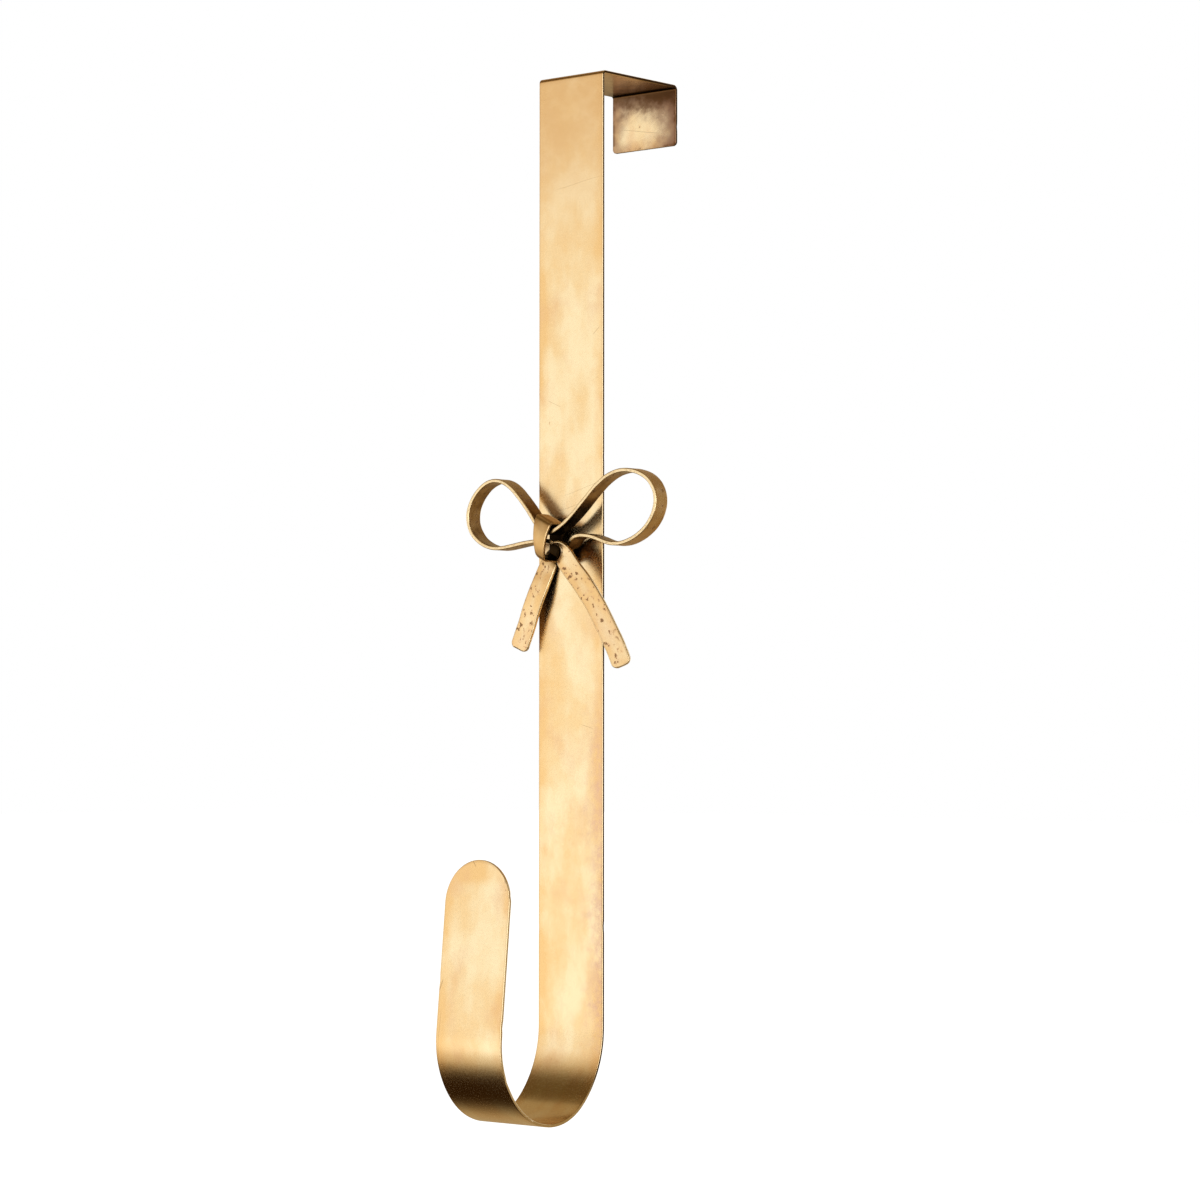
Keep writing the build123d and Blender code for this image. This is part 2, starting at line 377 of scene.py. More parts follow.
def waver(at, depth, often, seed):
    """A smooth random swing of about depth, which changes often times per mm."""
    return depth * noise.noise(Vector((at * often, seed, 0)))


def strip_nick(gone):
    dip = sum(deep * math.exp(-((gone - at) / wide) ** 2) for at, deep, wide in STRIP_NICKS)
    return dip + waver(gone, 0.03, 0.35, 3.1) + waver(gone, 0.02, 1.7, 8)


def strip_rough(s, x, side):
    return 0.05 * noise.noise(Vector((s * 0.016, x * 0.045, 4.0)))


def held(value):
    """The value, kept between 0 and 1."""
    return min(max(value, 0), 1)


def strip_underside_shade(s, x, side):
    """How dark the strip's painted shade is: on the underside of its top, most at the lip's fold."""
    under = (s - LIP_DROP) / DOOR_GAP
    if side > 0 and 0 <= under <= 1.03:
        return 0.28 + 0.70 * (1 - held(under)) ** 1.1
    return 0.0


# Ribbon
def value_at(keys, at):
    """A value that eases from key to key: (place, value)."""
    for (start, first), (end, last) in zip(keys, keys[1:]):
        if at <= end:
            t = max(at - start, 0) / (end - start)
            return first + (last - first) * t * t * (3 - 2 * t)
    return keys[-1][1]


def bends(knots, values):
    """The second derivatives of the natural cubic spline through values at the knots."""
    n = len(values)
    lower, diagonal, upper, right = [0.0] * n, [1.0] * n, [0.0] * n, [0.0] * n
    for i in range(1, n - 1):
        h0, h1 = knots[i] - knots[i - 1], knots[i + 1] - knots[i]
        lower[i], diagonal[i], upper[i] = h0 / 6, (h0 + h1) / 3, h1 / 6
        right[i] = (values[i + 1] - values[i]) / h1 - (values[i] - values[i - 1]) / h0
    for i in range(1, n):
        weight = lower[i] / diagonal[i - 1]
        diagonal[i] -= weight * upper[i - 1]
        right[i] -= weight * right[i - 1]
    found = [0.0] * n
    found[-1] = right[-1] / diagonal[-1]
    for i in range(n - 2, -1, -1):
        found[i] = (right[i] - upper[i] * found[i + 1]) / diagonal[i]
    return found


def smooth_line(points):
    """A cubic spline through points in the plane, as a function from the place, counted in points."""
    knots = [0.0]
    for a, b in zip(points, points[1:]):
        knots.append(knots[-1] + math.dist(a, b))
    bent = [bends(knots, [p[axis] for p in points]) for axis in (0, 1)]

    def at(place):
        i = min(int(place), len(points) - 2)
        h = knots[i + 1] - knots[i]
        b = place - i
        a = 1 - b
        found = []
        for axis in (0, 1):
            value = a * points[i][axis] + b * points[i + 1][axis]
            value += ((a**3 - a) * bent[axis][i] + (b**3 - b) * bent[axis][i + 1]) * h * h / 6
            found.append(value)
        return found
    return at


def ribbon_frames():
    """Sections of the ribbon: how far along they are, and (middle, wide, through, half width) of each."""
    ribbon_at = smooth_line(RIBBON_PATH)
    places = [i / RIBBON_STEPS for i in range(RIBBON_STEPS * (len(RIBBON_PATH) - 1) + 1)]
    middles = []
    for place in places:
        x, z = ribbon_at(place)
        middles.append(Vector((x, SHANK_FACE_Y - value_at(DEPTH_KEYS, place), z)))
    gone = [0.0]
    for a, b in zip(middles, middles[1:]):
        gone.append(gone[-1] + (b - a).length)
    sections = []
    for n, (place, middle) in enumerate(zip(places, middles)):
        run = (middles[min(n + 1, len(middles) - 1)] - middles[max(n - 1, 0)]).normalized()
        front = (Vector((0, -1, 0)) + run * run.y).normalized()
        twist = math.radians(value_at(TWIST_KEYS, place))
        wide = front * math.cos(twist) + front.cross(run) * math.sin(twist)
        sections.append((middle, wide, wide.cross(run), value_at(WIDTH_KEYS, place) / 2))
    return gone, sections


RIBBON_GONE, RIBBON_SECTIONS = ribbon_frames()
RIBBON_LENGTH = RIBBON_GONE[-1]


def ribbon_section(s):
    """The ribbon's middle, its wide and through directions and its half width, s along it."""
    i = min(max(bisect_right(RIBBON_GONE, s) - 1, 0), len(RIBBON_GONE) - 2)
    t = (s - RIBBON_GONE[i]) / (RIBBON_GONE[i + 1] - RIBBON_GONE[i])
    first, last = RIBBON_SECTIONS[i], RIBBON_SECTIONS[i + 1]
    middle, wide, through = (a.lerp(b, t) for a, b in zip(first[:3], last[:3]))
    return middle, wide.normalized(), through.normalized(), first[3] + (last[3] - first[3]) * t


def on_ribbon(s, x, h):
    middle, wide, through, _ = ribbon_section(s)
    return middle + wide * x + through * h


def ribbon_rows():
    columns = 9
    wide = [-1.0, -0.86] + [-0.65 + 1.3 * n / (columns - 5) for n in range(columns - 4)] + [0.86, 1.0]
    corner = TAIL_CORNER_RADIUS - RIBBON_EDGE
    ends = [RIBBON_EDGE + s for s in corner_stations(corner, (0, 15, 30, 45, 60, 75, 90))]
    between = RIBBON_LENGTH - 2 * ends[-1]
    parts = round(between / 0.9)
    stations = ends + [ends[-1] + between * (n + 1) / parts for n in range(parts)]
    stations += [RIBBON_LENGTH - s for s in reversed(ends[:-1])]
    rows = []
    for s in stations:
        inside = max(corner - (min(s, RIBBON_LENGTH - s) - RIBBON_EDGE), 0)
        half = ribbon_section(s)[3] - RIBBON_EDGE
        reach = half - corner + math.sqrt(max(corner**2 - inside**2, 0))
        rows.append([(s, reach * w) for w in wide])
    return rows


def ribbon_nick(gone):
    """The hammered edge of the ribbon."""
    return waver(gone, 0.10, 0.22, 1.3) + waver(gone, 0.06, 0.8, 5.2) + 0.05


def ribbon_rough(s, x, side):
    return 0.05 * noise.noise(Vector((s * 0.25, x * 0.3, side * 7)))


# Where the ribbon is painted dark as shade, in mm along it: the hidden link behind the knot, and the loops
# after it
LINK_RUN = (37, 56)
LOOPS_START = 46
LOOPS_BEFORE_END = 74
BAND_HIDES = 4.2     # how far from the middle of the band the runs inside it are painted black as shade


def ribbon_patina_and_shade(s, x, side):
    """How dark the ribbon's patina and painted shade are: painted shade black where it is hidden and dark on
    the backs of the tails, and patina with painted shade on its flat sides in the loops, most inside and by
    the knot.
    """
    middle = on_ribbon(s, 0.0, 0.0)
    in_loop = held((s - LOOPS_START) / 6) * held((RIBBON_LENGTH - LOOPS_BEFORE_END - s) / 6)
    from_knot = math.hypot(middle.x - BAND_CENTRE[0], middle.z - BAND_CENTRE[1])
    by_knot = 1 - held((from_knot - 8) / 30)
    in_band = held(BAND_HIDES - abs(middle.x - BAND_CENTRE[0] - 0.8))
    if from_knot > 10 or middle.y > SHANK_FACE_Y - 6:
        in_band = 0
    hidden = max(held((s - LINK_RUN[0]) / 4) * held((LINK_RUN[1] - s) / 4), in_band)
    if abs(side) < 1:
        return max(hidden, 0.22 * in_loop * by_knot)
    if side * (on_ribbon(s, 0.0, 1.0) - middle).y > 0.3:
        return max(hidden, 0.8 - 0.5 * in_loop)
    inner = 0.72 if side > 0 else 0.36
    return max(hidden, in_loop * min(inner + 0.6 * by_knot**1.3, 0.97))


# Knot band
def band_outline():
    """The band's outer outline seen from the right, as points with their outward directions."""
    back = RIBBON_WIDTH / 2 + BAND_CLEARANCE + BAND_THICK
    high, corner = BAND_HALF_HEIGHT - BAND_CORNER_RADIUS, BAND_CORNER_RADIUS
    bulge = (BAND_HALF_HEIGHT**2 + BAND_BULGE**2) / (2 * BAND_BULGE)
    centre = bulge - BAND_FRONT - BAND_BULGE
    tilt = math.degrees(math.asin(high / (bulge - corner)))
    front = centre - (bulge - corner) * math.cos(math.radians(tilt))
    around = []
    for y, z, radius, start, end in ((back - corner, high, corner, 0, 90),
                                     (front, high, corner, 90, 180 - tilt),
                                     (centre, 0, bulge, 180 - tilt, 180 + tilt),
                                     (front, -high, corner, 180 + tilt, 270),
                                     (back - corner, -high, corner, 270, 360)):
        parts = max(7, round(math.radians(end - start) * radius / 0.8))
        for n in range(parts):
            out = Vector(heading_of(start + (end - start) * n / parts))
            around.append((Vector((y, z)) + out * radius, out))
    full = []
    for (p, n0), (q, n1) in zip(around, around[1:] + around[:1]):
        parts = max(1, int((q - p).length / 0.9))
        full += [(p.lerp(q, k / parts), n0.lerp(n1, k / parts).normalized()) for k in range(parts)]
    return full


def band_section():
    """Once round a cut through the band: (share of the way to the rim, what comes on top, height, rim)."""
    half, edge = BAND_THICK / 2, BAND_EDGE
    section = [(u, 0.0, half + BAND_CROWN * (1 - u * u), 0.0) for u in (-0.8, -0.4, 0.0, 0.4, 0.8)]
    for to_rim, up, start in ((1, 1, 90), (1, -1, 0), (-1, -1, -90), (-1, 1, -180)):
        for n in range(5):
            across, high = heading_of(start - 90 * n / 4)
            section.append((to_rim, edge * across, up * (half - edge) + edge * high, RIM_DULL))
        if (to_rim, up) == (1, -1):
            section += [(u, 0.0, -half, 0.0) for u in (0.6, 0.0, -0.6)]
    return section


def band_shell():
    """A bulged ring whose tube runs down to the right, cut off by an upright and a leaning rim."""
    shell = Shell()
    dx, dz = heading_of(BAND_SLOPE)
    across = Vector((dx, 0, -dz))
    centre = Vector((BAND_CENTRE[0], SHANK_FACE_Y - LOOP_DEPTH, BAND_CENTRE[1]))
    lean = math.tan(math.radians(BAND_LEAN))
    left = (BAND_LEFT - BAND_CENTRE[0]) / across.x
    full, section = band_outline(), band_section()
    gone, loops = 0.0, []
    for n, (p, out) in enumerate(full):
        if n:
            gone += (p - full[n - 1][0]).length
        right = (BAND_RIGHT - BAND_CENTRE[0] + lean * p[1]) / (across.x - lean * across.z)
        middle, reach = (left + right) / 2, (right - left) / 2 - BAND_EDGE
        loop = []
        for u, more, h, rim in section:
            v = middle + u * reach + more
            bump = BAND_CROWN * noise.noise(Vector((gone * 0.35, v * 0.5, 2.0)))
            q = p + out * (h - BAND_THICK / 2 + (bump - BAND_CROWN if h > 0 else 0))
            place = centre + Vector((0, q[0], q[1])) + across * v
            inward = 0.0 if rim else reach - abs(u * reach + more)
            # a light patina on the front of its outer face; painted shade, black, inside it and on its back
            patina_and_shade = 0.25 if h > 0 and p[0] < BAND_BACK else 1.0
            loop.append(shell.add(place, gone, v, rim, 1.0 if h > 0 else -1.0, inward, patina_and_shade))
        loops.append(loop)
    shell.join(loops + loops[:1])
    return shell


def braze_shell():
    """A pad of filler metal with hollow flanks between the shank and the band."""
    shell = Shell()
    gap = LOOP_DEPTH - RIBBON_WIDTH / 2 - BAND_CLEARANCE - BAND_THICK
    rings, around = 9, 40
    loops = []
    for i in range(rings):
        t = i / (rings - 1)
        flare = BRAZE_FLARE * (2 * t - 1) ** 4
        loop = []
        for j in range(around):
            a = 2 * math.pi * j / around
            swell = noise.noise(Vector((math.cos(a), math.sin(a), t * 2)))
            r = BRAZE_RADIUS - 0.25 + flare * (1 + 0.35 * swell)
            place = (BRAZE_CENTRE[0] + r * math.cos(a), SHANK_FACE_Y - gap * t,
                     BRAZE_CENTRE[1] + r * math.sin(a))
            loop.append(shell.add(place, a * r, gap * t, 0.0, 1.0, 2.0, 0.8))
        loops.append(loop)
    shell.join(loops)
    shell.faces += [loops[0], loops[-1][::-1]]
    return shell


# Materials
class Tree:
    """Short names for the nodes of a material or a world."""

    def __init__(self, owner):
        owner.use_nodes = True
        self.tree = owner.node_tree
        self.tree.nodes.clear()

    def node(self, kind, inputs=(), **settings):
        made = self.tree.nodes.new("ShaderNode" + kind)
        for key, value in settings.items():
            setattr(made, key, value)
        for key, value in dict(inputs).items():
            if isinstance(value, bpy.types.NodeSocket):
                self.tree.links.new(value, made.inputs[key])
            else:
                made.inputs[key].default_value = value
        return made

    def attribute(self, name):
        return self.node("Attribute", attribute_name=name).outputs["Fac"]

    def math(self, kind, a, b=0.5, clamp=False):
        return self.node("Math", {0: a, 1: b}, operation=kind, use_clamp=clamp).outputs[0]

    def plus(self, *terms):
        total = terms[0]
        for term in terms[1:]:
            total = self.math("ADD", total, term)
        return total

    def times(self, *factors):
        product = factors[0]
        for factor in factors[1:]:
            product = self.math("MULTIPLY", product, factor)
        return product

    def ramp(self, value, low, high, out_low=0.0, out_high=1.0):
        return self.node("MapRange", {0: value, 1: low, 2: high, 3: out_low, 4: out_high},
                         interpolation_type="SMOOTHSTEP").outputs[0]

    def noise(self, where, scale, detail=3.0, rough=0.5, stretch=(1, 1, 1), shift=(0, 0, 0)):
        mapped = self.node("Mapping", {"Vector": where, "Scale": stretch, "Location": shift})
        return self.node("TexNoise", {"Vector": mapped.outputs[0], "Scale": scale, "Detail": detail,
                                      "Roughness": rough}).outputs["Fac"]

    def scratch(self, across, along, at, angle, length, width):
        """A single scratch: its middle as (across, along), its angle to the cross direction, sizes in mm."""
        cos, sin = heading_of(angle)
        u = self.math("SUBTRACT", across, at[0] * MM)
        v = self.math("SUBTRACT", along, at[1] * MM)
        on = self.plus(self.times(u, cos), self.times(v, sin))
        off = self.math("SUBTRACT", self.times(v, cos), self.times(u, sin))
        off = self.plus(off, self.times(self.math("SINE", self.times(on, 260.0)), 0.1 * MM))
        thin = self.ramp(self.math("ABSOLUTE", off), 0.0, width * MM, 1.0, 0.0)
        fade = self.ramp(self.math("ABSOLUTE", on), 0.25 * length * MM, 0.5 * length * MM, 1.0, 0.0)
        return self.times(thin, fade)

    def mix(self, factor, a, b):
        made = self.node("Mix", data_type="RGBA")
        for key, value in ((0, factor), (6, a), (7, b)):
            if isinstance(value, bpy.types.NodeSocket):
                self.tree.links.new(value, made.inputs[key])
            else:
                made.inputs[key].default_value = value if key == 0 else (*value, 1)
        return made.outputs[2]

    def bump(self, strength, distance, height, before=None):
        inputs = {"Strength": strength, "Distance": distance, "Height": height}
        if before:
            inputs["Normal"] = before
        return self.node("Bump", inputs).outputs[0]

    def link(self, shader, kind):
        self.tree.links.new(shader.outputs[0], self.node(kind).inputs[0])


# Colours of clean brass
GOLD = (0.89, 0.665, 0.36)
RIBBON_GOLD = (0.88, 0.67, 0.385)
BAND_GOLD = (0.80, 0.57, 0.28)
FILLER = (0.50, 0.38, 0.20)
PALE = (0.95, 0.77, 0.47)
# the rubbed rim, partly a painted highlight
RUBBED_AND_HIGHLIGHT = (0.87, 0.69, 0.41)
# Colours of its patina and of painted shade, from light to dark
AMBER = (0.86, 0.535, 0.21)
ROSE = (0.75, 0.44, 0.235)
AUTUMN = (0.70, 0.43, 0.185)
FLUSH = (0.66, 0.41, 0.29)
PLUM = (0.25, 0.125, 0.095)
BROWN = (0.20, 0.10, 0.04)
OLIVE = (0.15, 0.085, 0.022)
DARK_PATINA_AND_SHADE = (0.15, 0.068, 0.010)
DUSK = (0.13, 0.062, 0.022)
CUT_SIDE_SHADE = (0.06, 0.028, 0.008)
GRIME_AND_SHADE = (0.022, 0.011, 0.003)

# Places along the strip in metres, for its marks
LIP_END = 0.0245
SHANK_START = LIP_END + DOOR_GAP * MM
CUT_SIDE_SHADE_END = 0.48      # beyond it the painted shade on the cut side is much less dark
DARKER_TOP_END = SHANK_START + 0.085
FLUSH_RUN = (SHANK_START + 0.23, SHANK_START + 0.30, SHANK_START + 0.385, SHANK_START + 0.42)
STAIN_CENTRE = (-0.003, 0.0075)     # of the lip's golden middle, as (across, along)
STAIN_SIZE = (0.0105, 0.0075)

# Scratches of the strip: middle as (across, along), angle, length, width, whether light, and which face
SCRATCHES = [((-2, 8.0), -9, 26, 0.16, False, "lip"), ((-4, 15.5), 38, 13, 0.16, True, "lip"),
             ((5, 10.5), 33, 11, 0.16, True, "lip"), ((-1, 5.0), 14, 10, 0.16, True, "lip"),
             ((4, 116), -8, 30, 0.14, False, "front"), ((14, 178), -38, 6, 0.2, False, "front"),
             ((-9, 207), 24, 9, 0.14, False, "front"), ((6, 243), -14, 22, 0.12, False, "front"),
             ((1, 250), -12, 26, 0.12, False, "front"), ((9, 341), 16, 8, 0.14, False, "front"),
             ((-5, 402), -20, 11, 0.14, True, "front"), ((14.3, 634.5), 100, 5, 0.6, False, "door"),
             ((13.2, 636.5), 60, 3.5, 0.35, True, "door"), ((-2.7, 640), -50, 3.5, 0.35, False, "door"),
             ((-16.4, 591), 72, 6, 0.4, False, "door"), ((-16.0, 571), 88, 26, 0.16, False, "door")]


def strip_marks(t, run, along, across, side, inward, colour):
    """The strip's own marks and painted shade: its lip clouded round a golden middle and painted darker
    towards its fold as shade, scratches, the top end of the shank by the fold darker, and a rosy flush low
    on its right edge. Gives the colour and how clouded it is."""
    cloudy = t.noise(run, 150.0, 4.0, 0.6, (1, 1, 1), (2.2, 6.1, 0))
    door = t.ramp(side, -0.2, 0.2)
    front = t.math("SUBTRACT", 1.0, door)
    lip = t.times(t.ramp(along, LIP_END, LIP_END + 0.002, 1.0, 0.0), door)
    u = t.math("DIVIDE", t.math("SUBTRACT", across, STAIN_CENTRE[0]), STAIN_SIZE[0])
    v = t.math("DIVIDE", t.math("SUBTRACT", along, STAIN_CENTRE[1]), STAIN_SIZE[1])
    away = t.math("SQRT", t.plus(t.math("POWER", u, 2.0), t.math("POWER", v, 2.0)))
    away = t.plus(away, t.ramp(cloudy, 0.2, 0.8, -0.35, 0.35))
    stain = t.times(lip, t.ramp(away, 0.3, 2.1))
    colour = t.mix(t.times(stain, 0.82), colour, PLUM)
    # painted shade on the lip, darkest at the fold under the top
    to_fold = t.plus(along, t.ramp(cloudy, 0.3, 0.7, -0.003, 0.003))
    dark = t.times(lip, t.ramp(to_fold, 0.013, LIP_END))
    colour = t.mix(t.times(dark, 0.97), colour, DUSK)
    burnt = t.times(lip, t.ramp(inward, 0.0003, 0.0016, 1.0, 0.0), t.ramp(cloudy, 0.50, 0.60))
    colour = t.mix(t.times(burnt, 0.8), colour, BROWN)

    faces = {"lip": lip, "front": front, "door": door}
    for at, angle, length, width, light, face in SCRATCHES:
        mark = t.times(t.scratch(across, along, at, angle, length, width), faces[face])
        colour = t.mix(t.times(mark, 0.5), colour, PALE if light else BROWN)

    # the top end of the shank, by the fold, darker and browner
    darker_top = t.times(t.ramp(along, SHANK_START - 0.002, SHANK_START),
                    t.ramp(along, SHANK_START + 0.008, DARKER_TOP_END, 1.0, 0.0))
    colour = t.mix(t.times(darker_top, t.ramp(cloudy, 0.2, 0.7, 0.58, 0.92)), colour, AUTUMN)
    low = t.times(t.ramp(along, *FLUSH_RUN[:2]), t.ramp(along, *FLUSH_RUN[2:], 1.0, 0.0))
    speck = t.noise(run, 420.0, 4.0, 0.7, (1, 0.8, 1), (3.3, 1.7, 0))
    to_right = t.ramp(t.plus(across, t.ramp(cloudy, 0.2, 0.8, -0.004, 0.004)), 0.006, 0.017)
    flush = t.times(low, front, to_right)
    colour = t.mix(t.times(flush, t.ramp(speck, 0.25, 0.70), 0.70), colour, FLUSH)
    return colour, stain


def brass(name, gold, age, pits, rough, free_of_shade_and_grime=0.0, cut_side_shade=0.0, marks=None):
    """Antique brass: mottled gold with amber patina near its edges, pits, a rubbed rim that is partly a
    painted highlight, and painted shade with dirt in its hollows. age and pits say how much of each there
    is, clean how closed in a point may be and still stay free of painted shade and dirt, cut_side_shade how
    dark the painted shade on the cut side is, and marks adds a piece's own marks to the colour."""
    material = bpy.data.materials.new(name)
    t = Tree(material)
    along, across, rim, side, inward, patina_and_shade = (t.attribute(key) for key in POINT_VALUES)
    run = t.node("CombineXYZ", {0: across, 1: along, 2: t.times(side, 0.03)}).outputs[0]

    # colour: amber clouds that gather near the edges, paler ones inside, and a fine mottle over all
    clouds = t.noise(run, 38.0, 3.0, 0.55, (1.3, 0.6, 1.0), (0.31, 0.12, 0))
    spots = t.noise(run, 210.0, 4.0, 0.6, (1.0, 0.8, 1.0), (1.7, 0.4, 0))
    grain = t.noise(run, 1300.0, 4.0, 0.75, (1.0, 0.7, 1.0), (0.2, 3.4, 0))
    near_edge = t.ramp(inward, 0.0005, 0.0065, 1.0, 0.0)
    amber = t.plus(t.ramp(clouds, 0.45, 0.75, 0.0, 0.65),
                   t.times(near_edge, t.ramp(clouds, 0.25, 0.58, 0.15, 1.0), 0.85))
    amber = t.times(t.math("ADD", amber, t.ramp(spots, 0.35, 0.75, -0.12, 0.22), clamp=True), age)
    colour = t.mix(amber, t.mix(t.ramp(clouds, 0.40, 0.58, 0.85, 0.0), gold, PALE), AMBER)
    rosy = t.noise(run, 62.0, 4.0, 0.6, (1.0, 0.7, 1.0), (7.1, 2.2, 0))
    colour = t.mix(t.times(t.ramp(rosy, 0.50, 0.72), 0.42 * age), colour, ROSE)
    colour = t.mix(t.ramp(grain, 0.30, 0.70, 0.11, 0.0), colour, BROWN)
    colour = t.mix(t.ramp(grain, 0.50, 0.80, 0.0, 0.20), colour, PALE)
    stain = None
    if marks:
        colour, stain = marks(t, run, along, across, side, inward, colour)

    # pits: small brown spots with a rosy ring
    dots = t.noise(run, 560.0, 3.0, 0.6, (1.0, 0.8, 1.0), (4.0, 2.0, 0))
    groups = t.noise(run, 95.0, 3.0, 0.6, (1.0, 0.6, 1.0), (9.0, 5.0, 0))
    here = t.ramp(groups, 0.62 - 0.20 * pits, 0.74 - 0.20 * pits)
    ring = t.times(t.ramp(dots, 0.64 - 0.07 * pits, 0.71 - 0.07 * pits), here)
    pit = t.times(t.ramp(dots, 0.70 - 0.07 * pits, 0.75 - 0.07 * pits), here)
    colour = t.mix(t.times(ring, 0.55), colour, ROSE)
    colour = t.mix(t.times(pit, 0.75), colour, BROWN)

    # age and wear: a brown line beside the rim, the dark patina deepened by painted shade, the rim rubbed
    # bright and partly a painted highlight, and the cut side darkened as painted shade
    beside = t.times(t.ramp(rim, 0.15, 0.6), t.ramp(rim, 0.85, 0.99, 1.0, 0.0))
    colour = t.mix(t.times(beside, 0.16), colour, BROWN)
    patina_and_shade_mix = t.math("ADD", patina_and_shade, t.times(patina_and_shade, t.ramp(spots, 0.25, 0.75, -0.22, 0.22)), clamp=True)
    colour = t.mix(t.times(t.ramp(patina_and_shade, 0.0, 0.3), 0.35), colour, AMBER)
    colour = t.mix(patina_and_shade_mix, colour, DARK_PATINA_AND_SHADE)
    worn_and_highlight = t.times(t.ramp(rim, 0.86, 0.94), t.ramp(t.noise(run, 260.0, 3.0), 0.15, 0.45, 0.35, 1.0))
    worn_and_highlight = t.times(worn_and_highlight, t.math("SUBTRACT", 1.0, t.math("MAXIMUM", patina_and_shade, stain) if stain else patina_and_shade))
    colour = t.mix(t.times(worn_and_highlight, 0.85), colour, RUBBED_AND_HIGHLIGHT)
    cut = t.ramp(along, CUT_SIDE_SHADE_END, CUT_SIDE_SHADE_END + 0.02, cut_side_shade, 0.25 * cut_side_shade)
    colour = t.mix(t.times(t.ramp(rim, 0.955, 0.99), cut), colour, CUT_SIDE_SHADE)

    # hollows and places closed in by near parts: painted shade, olive round them and near black in them,
    # with dirt in the deepest
    shade = t.plus(t.attribute("crevice"), t.ramp(clouds, 0.3, 0.7, -0.03, 0.03))
    colour = t.mix(t.ramp(shade, 0.08 + free_of_shade_and_grime, 0.36 + free_of_shade_and_grime, 0.0, 0.8), colour, OLIVE)
    grime_and_shade_mask = t.ramp(shade, 0.26 + free_of_shade_and_grime, 0.50 + free_of_shade_and_grime)
    colour = t.mix(t.times(grime_and_shade_mask, 0.96), colour, GRIME_AND_SHADE)
    # painted shade: the darkest points, on hidden runs, inside the band and at the fold, go near black
    colour = t.mix(t.ramp(patina_and_shade, 0.82, 1.0, 0.0, 0.98), colour, GRIME_AND_SHADE)

    # roughness and relief
    roughness = t.plus(t.ramp(grain, 0.3, 0.8, -0.03, 0.06), rough, t.times(amber, 0.05),
                       t.times(pit, 0.25), t.times(grime_and_shade_mask, 0.35))
    if stain:
        roughness = t.plus(roughness, t.times(stain, 0.10))
    roughness = t.math("SUBTRACT", roughness, t.times(worn_and_highlight, 0.08), clamp=True)
    relief = t.bump(0.13, 0.00003, grain)
    relief = t.bump(0.5, 0.00012, t.math("SUBTRACT", 1.0, pit), relief)
    relief = t.bump(0.3, 0.0004, t.noise(run, 75.0, 2.0, 0.5, (1.0, 0.6, 1.0)), relief)
    t.link(t.node("BsdfPrincipled", {"Base Color": colour, "Metallic": 1.0, "Roughness": roughness,
                                     "Normal": relief}), "OutputMaterial")
    return material


strip_brass = brass("strip_antique_brass", GOLD, age=0.8, pits=0.1, rough=0.22, free_of_shade_and_grime=0.17, cut_side_shade=1.0,
                    marks=strip_marks)
ribbon_brass = brass("ribbon_antique_brass", RIBBON_GOLD, age=0.8, pits=1.4, rough=0.27)
band_brass = brass("band_antique_brass", BAND_GOLD, age=1.0, pits=0.6, rough=0.32)
braze_metal = brass("braze_filler_metal", FILLER, age=1.0, pits=0.8, rough=0.5)

# Pieces
strip_shell = plate(strip_rows(), STRIP_EDGE, STRIP_THICK, on_strip, strip_nick, strip_rough, strip_underside_shade)
ribbon_shell = plate(ribbon_rows(), RIBBON_EDGE, RIBBON_THICK, on_ribbon, ribbon_nick, ribbon_rough,
                     ribbon_patina_and_shade)
pieces = (new_piece("strip", strip_shell, strip_brass, "hanger_strip"),
          new_piece("ribbon", ribbon_shell, ribbon_brass, "bow_ribbon"),
          new_piece("band", band_shell(), band_brass, "knot_band"),
          new_piece("braze", braze_shell(), braze_metal, "braze_joint"))
for piece in pieces:
    face_outward(piece)
shelter(pieces)


# Camera
def add_camera():
    data = bpy.data.cameras.new("camera")
    camera = bpy.data.objects.new("camera", data)
    bpy.context.scene.collection.objects.link(camera)
    azimuth, pitch = math.radians(CAMERA_AZIMUTH), math.radians(CAMERA_PITCH)
    look = Vector((-math.sin(azimuth) * math.cos(pitch), math.cos(azimuth) * math.cos(pitch),
                   math.sin(pitch)))
    turn = look.to_track_quat("-Z", "Y").to_matrix().to_4x4()
    roll = Matrix.Rotation(math.radians(CAMERA_ROLL), 4, "Z")
    camera.matrix_world = Matrix.Translation(CAMERA_PLACE) @ turn @ roll
    data.sensor_width = 36
    data.lens = CAMERA_LENS
    data.clip_start = 0.01
    bpy.context.scene.camera = camera


add_camera()

# Floor, studio cards and world. Places and sizes from here on are in metres.
FLOOR_Z = -1.25
FLOOR_HALF = 30
CARD_HALF = 9.0
CARD_LOW = FLOOR_Z + 0.04
CARD_HIGH = 1.5
CARD_BACK = 3.0
STUDIO_DARK = (0.022, 0.008, 0.0)
STUDIO_DIM = (0.115, 0.070, 0.022)
STUDIO_WARM = (0.56, 0.43, 0.26)
STUDIO_CREAM = (0.96, 0.86, 0.74)
STUDIO_MID = (0.46, 0.345, 0.19)
STUDIO_HIGH = tuple(0.85 * c for c in STUDIO_MID)


def shown(t):
    """1 for the rays that see the white background: the camera's, and those in metal and glass."""
    path = t.node("LightPath")
    seen = t.math("MAXIMUM", path.outputs["Is Camera Ray"], path.outputs["Is Glossy Ray"])
    return t.math("MAXIMUM", seen, path.outputs["Is Transmission Ray"])


def staged(name, corners, material):
    mesh = bpy.data.meshes.new(name)
    mesh.from_pydata(corners, [], [tuple(range(len(corners)))])
    mesh.materials.append(material)
    made = bpy.data.objects.new(name, mesh)
    bpy.context.scene.collection.objects.link(made)
    return made


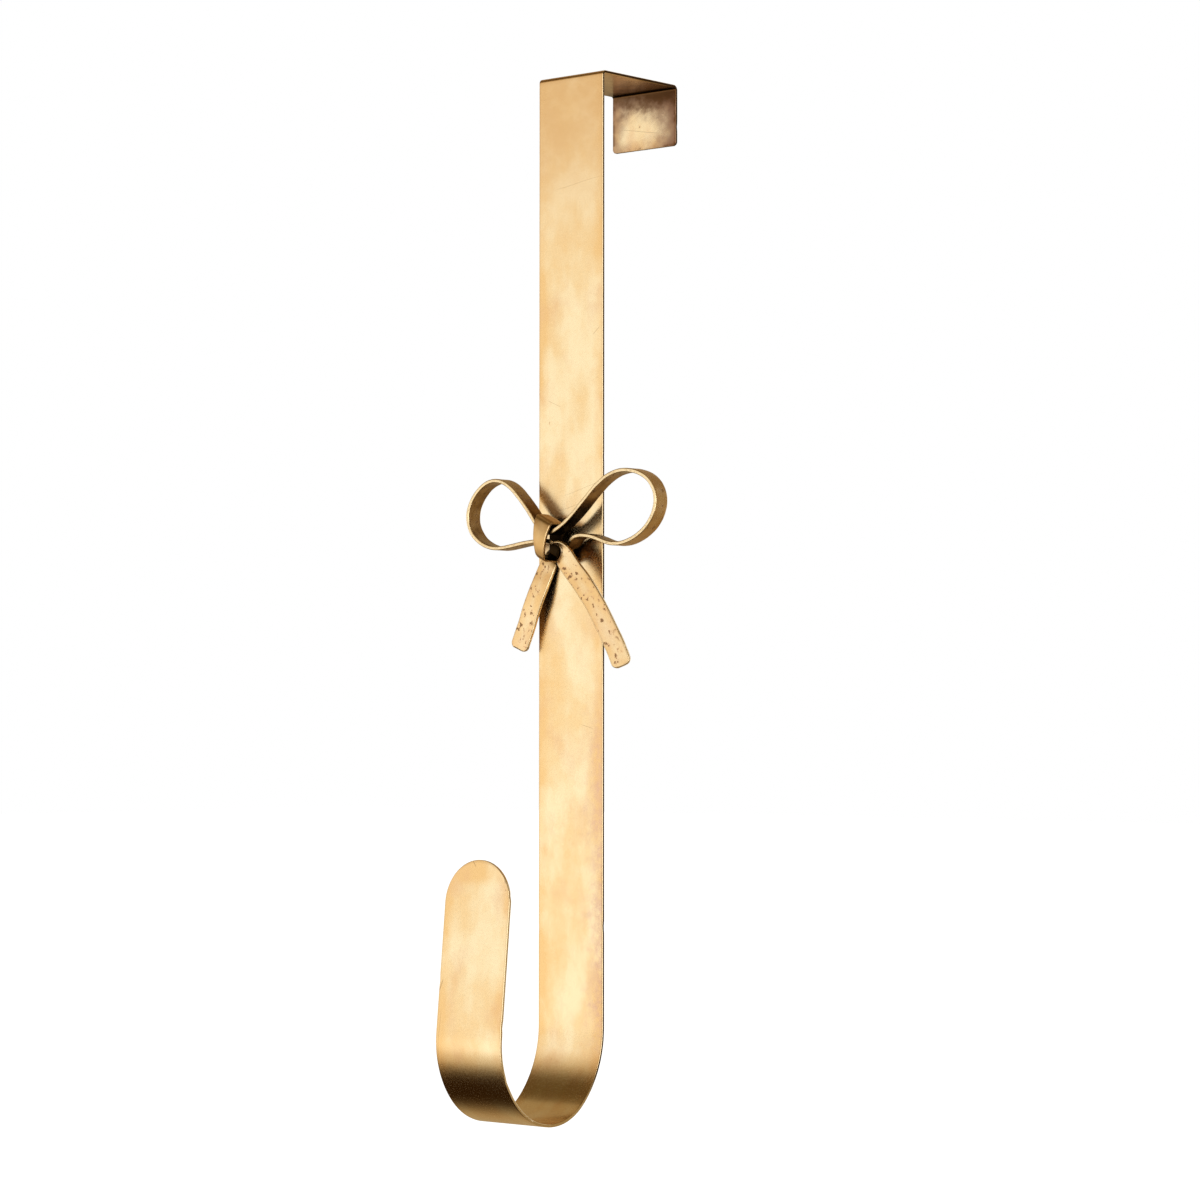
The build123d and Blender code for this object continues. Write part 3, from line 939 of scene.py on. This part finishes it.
def lay_floor():
    """A floor that glows for the rays that see the white background and takes shadows for the rest."""
    material = bpy.data.materials.new("pale_floor")
    t = Tree(material)
    matt = t.node("BsdfDiffuse", {"Color": (0.82, 0.82, 0.81, 1)})
    glow = t.node("Emission", {"Color": (1, 1, 1, 1), "Strength": t.times(shown(t), 0.55)})
    t.link(t.node("AddShader", {0: matt.outputs[0], 1: glow.outputs[0]}), "OutputMaterial")
    far = FLOOR_HALF
    staged("floor", [(-far, -far, FLOOR_Z), (far, -far, FLOOR_Z), (far, far, FLOOR_Z), (-far, far, FLOOR_Z)],
           material)


def card(name, a, b, colour, *tones, window=0.0):
    """A card as wide as the studio between two lines, each given as (y, z). Its colour passes to each of
    the tones between two places in y: (tone, start, end). A window leaves its middle open."""
    material = bpy.data.materials.new(name)
    t = Tree(material)
    y = t.node("SeparateXYZ", {0: t.node("TexCoord").outputs["Object"]}).outputs["Y"]
    for tone, start, end in tones:
        colour = t.mix(t.ramp(y, start, end), colour, tone)
    if not tones:
        colour = (*colour, 1)
    t.link(t.node("Emission", {"Color": colour, "Strength": 1.0}), "OutputMaterial")
    edges = [-CARD_HALF, -window, window, CARD_HALF] if window else [-CARD_HALF, CARD_HALF]
    for part, (left, right) in enumerate(zip(edges[::2], edges[1::2])):
        made = staged(f"{name}_{part}", [(left, *a), (right, *a), (right, *b), (left, *b)], material)
        made.visible_camera = False
        made.visible_diffuse = False
        made.visible_transmission = False
        made.visible_shadow = False


def set_world():
    world = bpy.data.worlds.new("studio")
    bpy.context.scene.world = world
    t = Tree(world)
    matt_light = t.node("Background", {0: (1.0, 0.99, 0.97, 1), 1: 0.75})
    white = t.node("Background", {0: (1, 1, 1, 1), 1: 1.0})
    t.link(t.node("MixShader", {0: shown(t), 1: matt_light.outputs[0], 2: white.outputs[0]}), "OutputWorld")


lay_floor()
# The cards stand round the object outside the view and shape what the metal mirrors: white between them in
# front, dark below and above it, and a middling tone behind
card("card_low", (-2.7, CARD_LOW), (CARD_BACK, CARD_LOW), STUDIO_CREAM,
     (STUDIO_WARM, -2.7, -1.20), (STUDIO_DARK, -1.55, -0.70), (STUDIO_MID, -0.20, 0.55))
card("card_back", (CARD_BACK, CARD_LOW), (CARD_BACK, CARD_HIGH), STUDIO_MID, window=1.7)
card("card_high", (-4.4, CARD_HIGH), (CARD_BACK, CARD_HIGH), STUDIO_CREAM,
     (STUDIO_WARM, -4.4, -2.0), (STUDIO_DIM, -2.4, -1.2), (STUDIO_HIGH, -0.35, 0.05))
set_world()

# Lamps, which stand LAMP_AWAY from the object, each towards (x, y), with their height, size and level
LAMP_AWAY = 1.3
LAMPS = [("key", (-0.66, -0.75), -0.336, (1.9, 1.27), 0.15),
         ("fill", (0.75, -0.66), -0.25, (0.5, 1.2), 2.6)]
for name, (x, y), z, (width, height), level in LAMPS:
    data = bpy.data.lights.new(name, "AREA")
    data.shape = "RECTANGLE"
    data.size, data.size_y = width, height
    data.energy = level * math.pi * width * height     # an even level, where 1 is white
    lamp = bpy.data.objects.new(name, data)
    bpy.context.scene.collection.objects.link(lamp)
    lamp.location = (x * LAMP_AWAY, y * LAMP_AWAY, z)
    lamp.rotation_euler = Vector((-x * LAMP_AWAY, -y * LAMP_AWAY, 0)).to_track_quat("-Z", "Y").to_euler()
    lamp.visible_camera = False

bpy.context.scene.view_settings.view_transform = "Standard"
